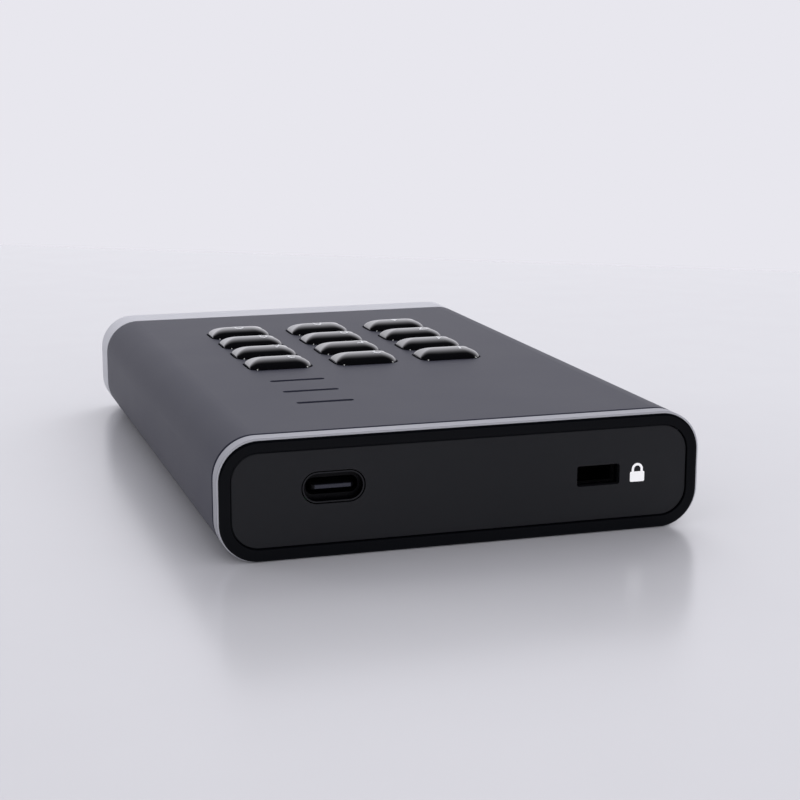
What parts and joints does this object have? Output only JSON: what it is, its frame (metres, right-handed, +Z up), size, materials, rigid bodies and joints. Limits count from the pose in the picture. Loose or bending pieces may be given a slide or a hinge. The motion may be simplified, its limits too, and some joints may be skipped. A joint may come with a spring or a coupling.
{
  "type": "encrypted portable solid state drive",
  "caption": "Flat rounded portable solid state drive with a push-button keypad and status lights on top, a USB-C socket and a lock slot in one end.",
  "frame": {"origin": "middle of the underside, on the surface it lies on", "axes": "+X across the width, +Y along the length from the socket end to the closed end, +Z up through the keypad face"},
  "size_m": [0.08, 0.124, 0.0211],
  "materials": {
    "grey_shell": "satin anodised",
    "silver_trim": "matte",
    "black_gloss": "glossy",
    "key_gloss": "glossy",
    "charcoal": "matte",
    "dark_seal": "matte",
    "steel": "plain",
    "dark_steel": "dark plated",
    "black_moulding": "matte",
    "silicone": "matte",
    "circuit_board": "solder mask",
    "module_case": "painted",
    "foam": "matte",
    "chip": "matte",
    "ceramic": "matte",
    "smoked_lens": "smoked clear",
    "lamp_red": "diffused",
    "lamp_green": "diffused",
    "lamp_blue": "diffused"
  },
  "bodies": {
    "housing": {"sleeve": "grey_shell", "front_collar": "silver_trim", "front_bezel": "black_gloss", "front_panel": "charcoal", "front_seal": "dark_seal", "rear_seal": "dark_seal", "rear_cap": "silver_trim", "lock_plate": "steel", "usb_shell": "dark_steel", "usb_insert": "black_moulding", "key_mat": "silicone", "snap_domes": "steel", "keypad_board": "circuit_board", "storage_module": "module_case", "drive_tray": "black_moulding", "shock_pads": "foam", "rear_bumper": "foam", "main_board": "circuit_board", "link_socket": "black_moulding", "board_header": "black_moulding", "board_socket": "black_moulding", "bridge_chip": "chip", "guard_chip": "chip", "crystal": "steel", "choke": "chip", "capacitors": "ceramic", "board_screws": "steel", "keypad_screws": "steel", "bezel_screws": "steel", "light_pipe_red": "smoked_lens", "light_pipe_green": "smoked_lens", "light_pipe_blue": "smoked_lens", "lamp_red": "lamp_red", "lamp_green": "lamp_green", "lamp_blue": "lamp_blue"},
    "button_1": {"key_1": "key_gloss"},
    "button_2": {"key_2": "key_gloss"},
    "button_3": {"key_3": "key_gloss"},
    "button_4": {"key_4": "key_gloss"},
    "button_5": {"key_5": "key_gloss"},
    "button_6": {"key_6": "key_gloss"},
    "button_7": {"key_7": "key_gloss"},
    "button_8": {"key_8": "key_gloss"},
    "button_9": {"key_9": "key_gloss"},
    "button_shift": {"key_shift": "key_gloss"},
    "button_0": {"key_0": "key_gloss"},
    "button_unlock": {"key_unlock": "key_gloss"}
  },
  "joints": [
    {"name": "press_1", "type": "slide", "parent": "housing", "child": "button_1", "axis": [0, 0, -1], "range_m": [0, 0.0004], "stiffness_N_per_m": 800, "springref_m": -0.0005},
    {"name": "press_2", "type": "slide", "parent": "housing", "child": "button_2", "axis": [0, 0, -1], "range_m": [0, 0.0004], "stiffness_N_per_m": 800, "springref_m": -0.0005},
    {"name": "press_3", "type": "slide", "parent": "housing", "child": "button_3", "axis": [0, 0, -1], "range_m": [0, 0.0004], "stiffness_N_per_m": 800, "springref_m": -0.0005},
    {"name": "press_4", "type": "slide", "parent": "housing", "child": "button_4", "axis": [0, 0, -1], "range_m": [0, 0.0004], "stiffness_N_per_m": 800, "springref_m": -0.0005},
    {"name": "press_5", "type": "slide", "parent": "housing", "child": "button_5", "axis": [0, 0, -1], "range_m": [0, 0.0004], "stiffness_N_per_m": 800, "springref_m": -0.0005},
    {"name": "press_6", "type": "slide", "parent": "housing", "child": "button_6", "axis": [0, 0, -1], "range_m": [0, 0.0004], "stiffness_N_per_m": 800, "springref_m": -0.0005},
    {"name": "press_7", "type": "slide", "parent": "housing", "child": "button_7", "axis": [0, 0, -1], "range_m": [0, 0.0004], "stiffness_N_per_m": 800, "springref_m": -0.0005},
    {"name": "press_8", "type": "slide", "parent": "housing", "child": "button_8", "axis": [0, 0, -1], "range_m": [0, 0.0004], "stiffness_N_per_m": 800, "springref_m": -0.0005},
    {"name": "press_9", "type": "slide", "parent": "housing", "child": "button_9", "axis": [0, 0, -1], "range_m": [0, 0.0004], "stiffness_N_per_m": 800, "springref_m": -0.0005},
    {"name": "press_shift", "type": "slide", "parent": "housing", "child": "button_shift", "axis": [0, 0, -1], "range_m": [0, 0.0004], "stiffness_N_per_m": 800, "springref_m": -0.0005},
    {"name": "press_0", "type": "slide", "parent": "housing", "child": "button_0", "axis": [0, 0, -1], "range_m": [0, 0.0004], "stiffness_N_per_m": 800, "springref_m": -0.0005},
    {"name": "press_unlock", "type": "slide", "parent": "housing", "child": "button_unlock", "axis": [0, 0, -1], "range_m": [0, 0.0004], "stiffness_N_per_m": 800, "springref_m": -0.0005}
  ]
}
